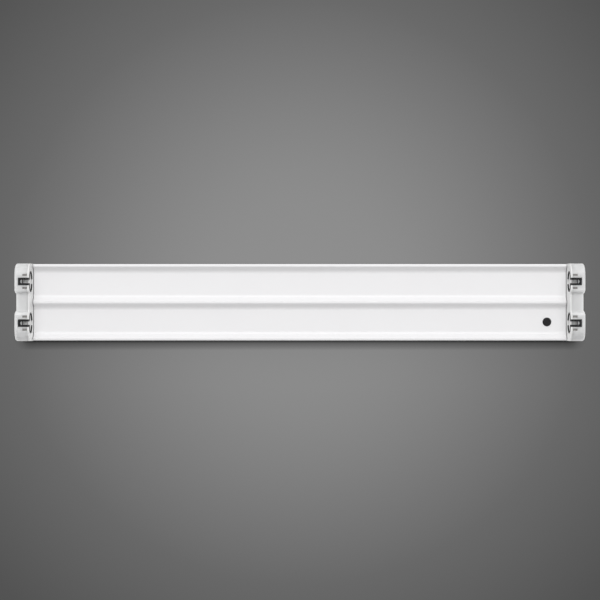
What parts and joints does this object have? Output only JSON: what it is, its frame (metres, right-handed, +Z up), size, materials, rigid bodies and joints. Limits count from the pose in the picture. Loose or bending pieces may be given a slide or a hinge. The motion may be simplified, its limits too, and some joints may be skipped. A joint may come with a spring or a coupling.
{
  "type": "tube light fixture",
  "caption": "Slim ceiling batten for a pair of straight tubes: folded white reflector cover with two troughs, translucent end caps with rotary lampholders, and a steel mounting channel.",
  "frame": {"origin": "centre of the mounting face, on the ceiling's plane", "axes": "+Z up, out of the mounting face into the ceiling; +X along the length, towards the end with the blanking plug; +Y across, towards the trough with the plug"},
  "size_m": [0.6228, 0.085, 0.07],
  "materials": {
    "white_enamel": "satin white enamel",
    "cap_plastic": "milky translucent polycarbonate",
    "rotor_plastic": "white moulded plastic",
    "guide_plastic": "black moulded plastic",
    "black_rubber": "matt black rubber",
    "contact_metal": "tin-plated spring bronze",
    "zinc_steel": "bright zinc plate",
    "spring_steel": "blued spring steel",
    "ballast_tin": "galvanised sheet",
    "board_laminate": "green circuit board",
    "ferrite": "matt grey ferrite",
    "copper_wire": "enamelled copper wire",
    "capacitor_sleeve": "dark plastic sleeve",
    "sink_aluminium": "mill finish",
    "terminal_plastic": "pale grey moulded plastic",
    "terminal_brass": "turned brass",
    "lead_sheath": "white wire insulation",
    "mains_sheath": "coloured wire insulation",
    "earth_sheath": "green and yellow wire insulation"
  },
  "bodies": {
    "housing": {"ballast_board": "board_laminate", "ballast_capacitors": "capacitor_sleeve", "ballast_case": "ballast_tin", "ballast_cores": "ferrite", "ballast_heat_sink": "sink_aluminium", "ballast_lid": "ballast_tin", "ballast_screws": "zinc_steel", "ballast_terminals": "terminal_plastic", "ballast_windings": "copper_wire", "base_channel": "white_enamel", "cable_grommet": "black_rubber", "cap_screws": "zinc_steel", "contact_pair_left_a": "contact_metal", "contact_pair_left_b": "contact_metal", "contact_pair_right_a": "contact_metal", "contact_pair_right_b": "contact_metal", "cover_clips": "spring_steel", "earth_lead": "earth_sheath", "earth_nut": "terminal_brass", "earth_stud": "zinc_steel", "earth_washer": "zinc_steel", "end_cap_left": "cap_plastic", "end_cap_right": "cap_plastic", "holder_plate_left": "rotor_plastic", "holder_plate_right": "rotor_plastic", "lamp_leads_left": "lead_sheath", "lamp_leads_right": "lead_sheath", "mains_leads": "mains_sheath", "pin_guide_left_a": "guide_plastic", "pin_guide_left_b": "guide_plastic", "pin_guide_right_a": "guide_plastic", "pin_guide_right_b": "guide_plastic", "terminal_block": "terminal_plastic", "terminal_fixing": "zinc_steel", "terminal_inserts": "terminal_brass", "terminal_screws": "zinc_steel", "wire_clips": "terminal_plastic"},
    "cover": {"reflector_cover": "white_enamel", "blanking_plug": "black_rubber"},
    "rotor_left_a_body": {"rotor_left_a": "rotor_plastic"},
    "rotor_left_b_body": {"rotor_left_b": "rotor_plastic"},
    "rotor_right_a_body": {"rotor_right_a": "rotor_plastic"},
    "rotor_right_b_body": {"rotor_right_b": "rotor_plastic"}
  },
  "joints": [
    {"name": "cover_lift", "type": "slide", "parent": "housing", "child": "cover", "axis": [0, 0, -1], "range_m": [0, 0.06]},
    {"name": "rotor_left_a_turn", "type": "hinge", "parent": "housing", "child": "rotor_left_a_body", "pos_m": [-0.3, -0.0227, -0.055], "axis": [1, 0, 0], "range_deg": [-90, 90]},
    {"name": "rotor_left_b_turn", "type": "hinge", "parent": "housing", "child": "rotor_left_b_body", "pos_m": [-0.3, 0.0227, -0.055], "axis": [1, 0, 0], "range_deg": [-90, 90]},
    {"name": "rotor_right_a_turn", "type": "hinge", "parent": "housing", "child": "rotor_right_a_body", "pos_m": [0.3, -0.0227, -0.055], "axis": [1, 0, 0], "range_deg": [-90, 90]},
    {"name": "rotor_right_b_turn", "type": "hinge", "parent": "housing", "child": "rotor_right_b_body", "pos_m": [0.3, 0.0227, -0.055], "axis": [1, 0, 0], "range_deg": [-90, 90]}
  ]
}
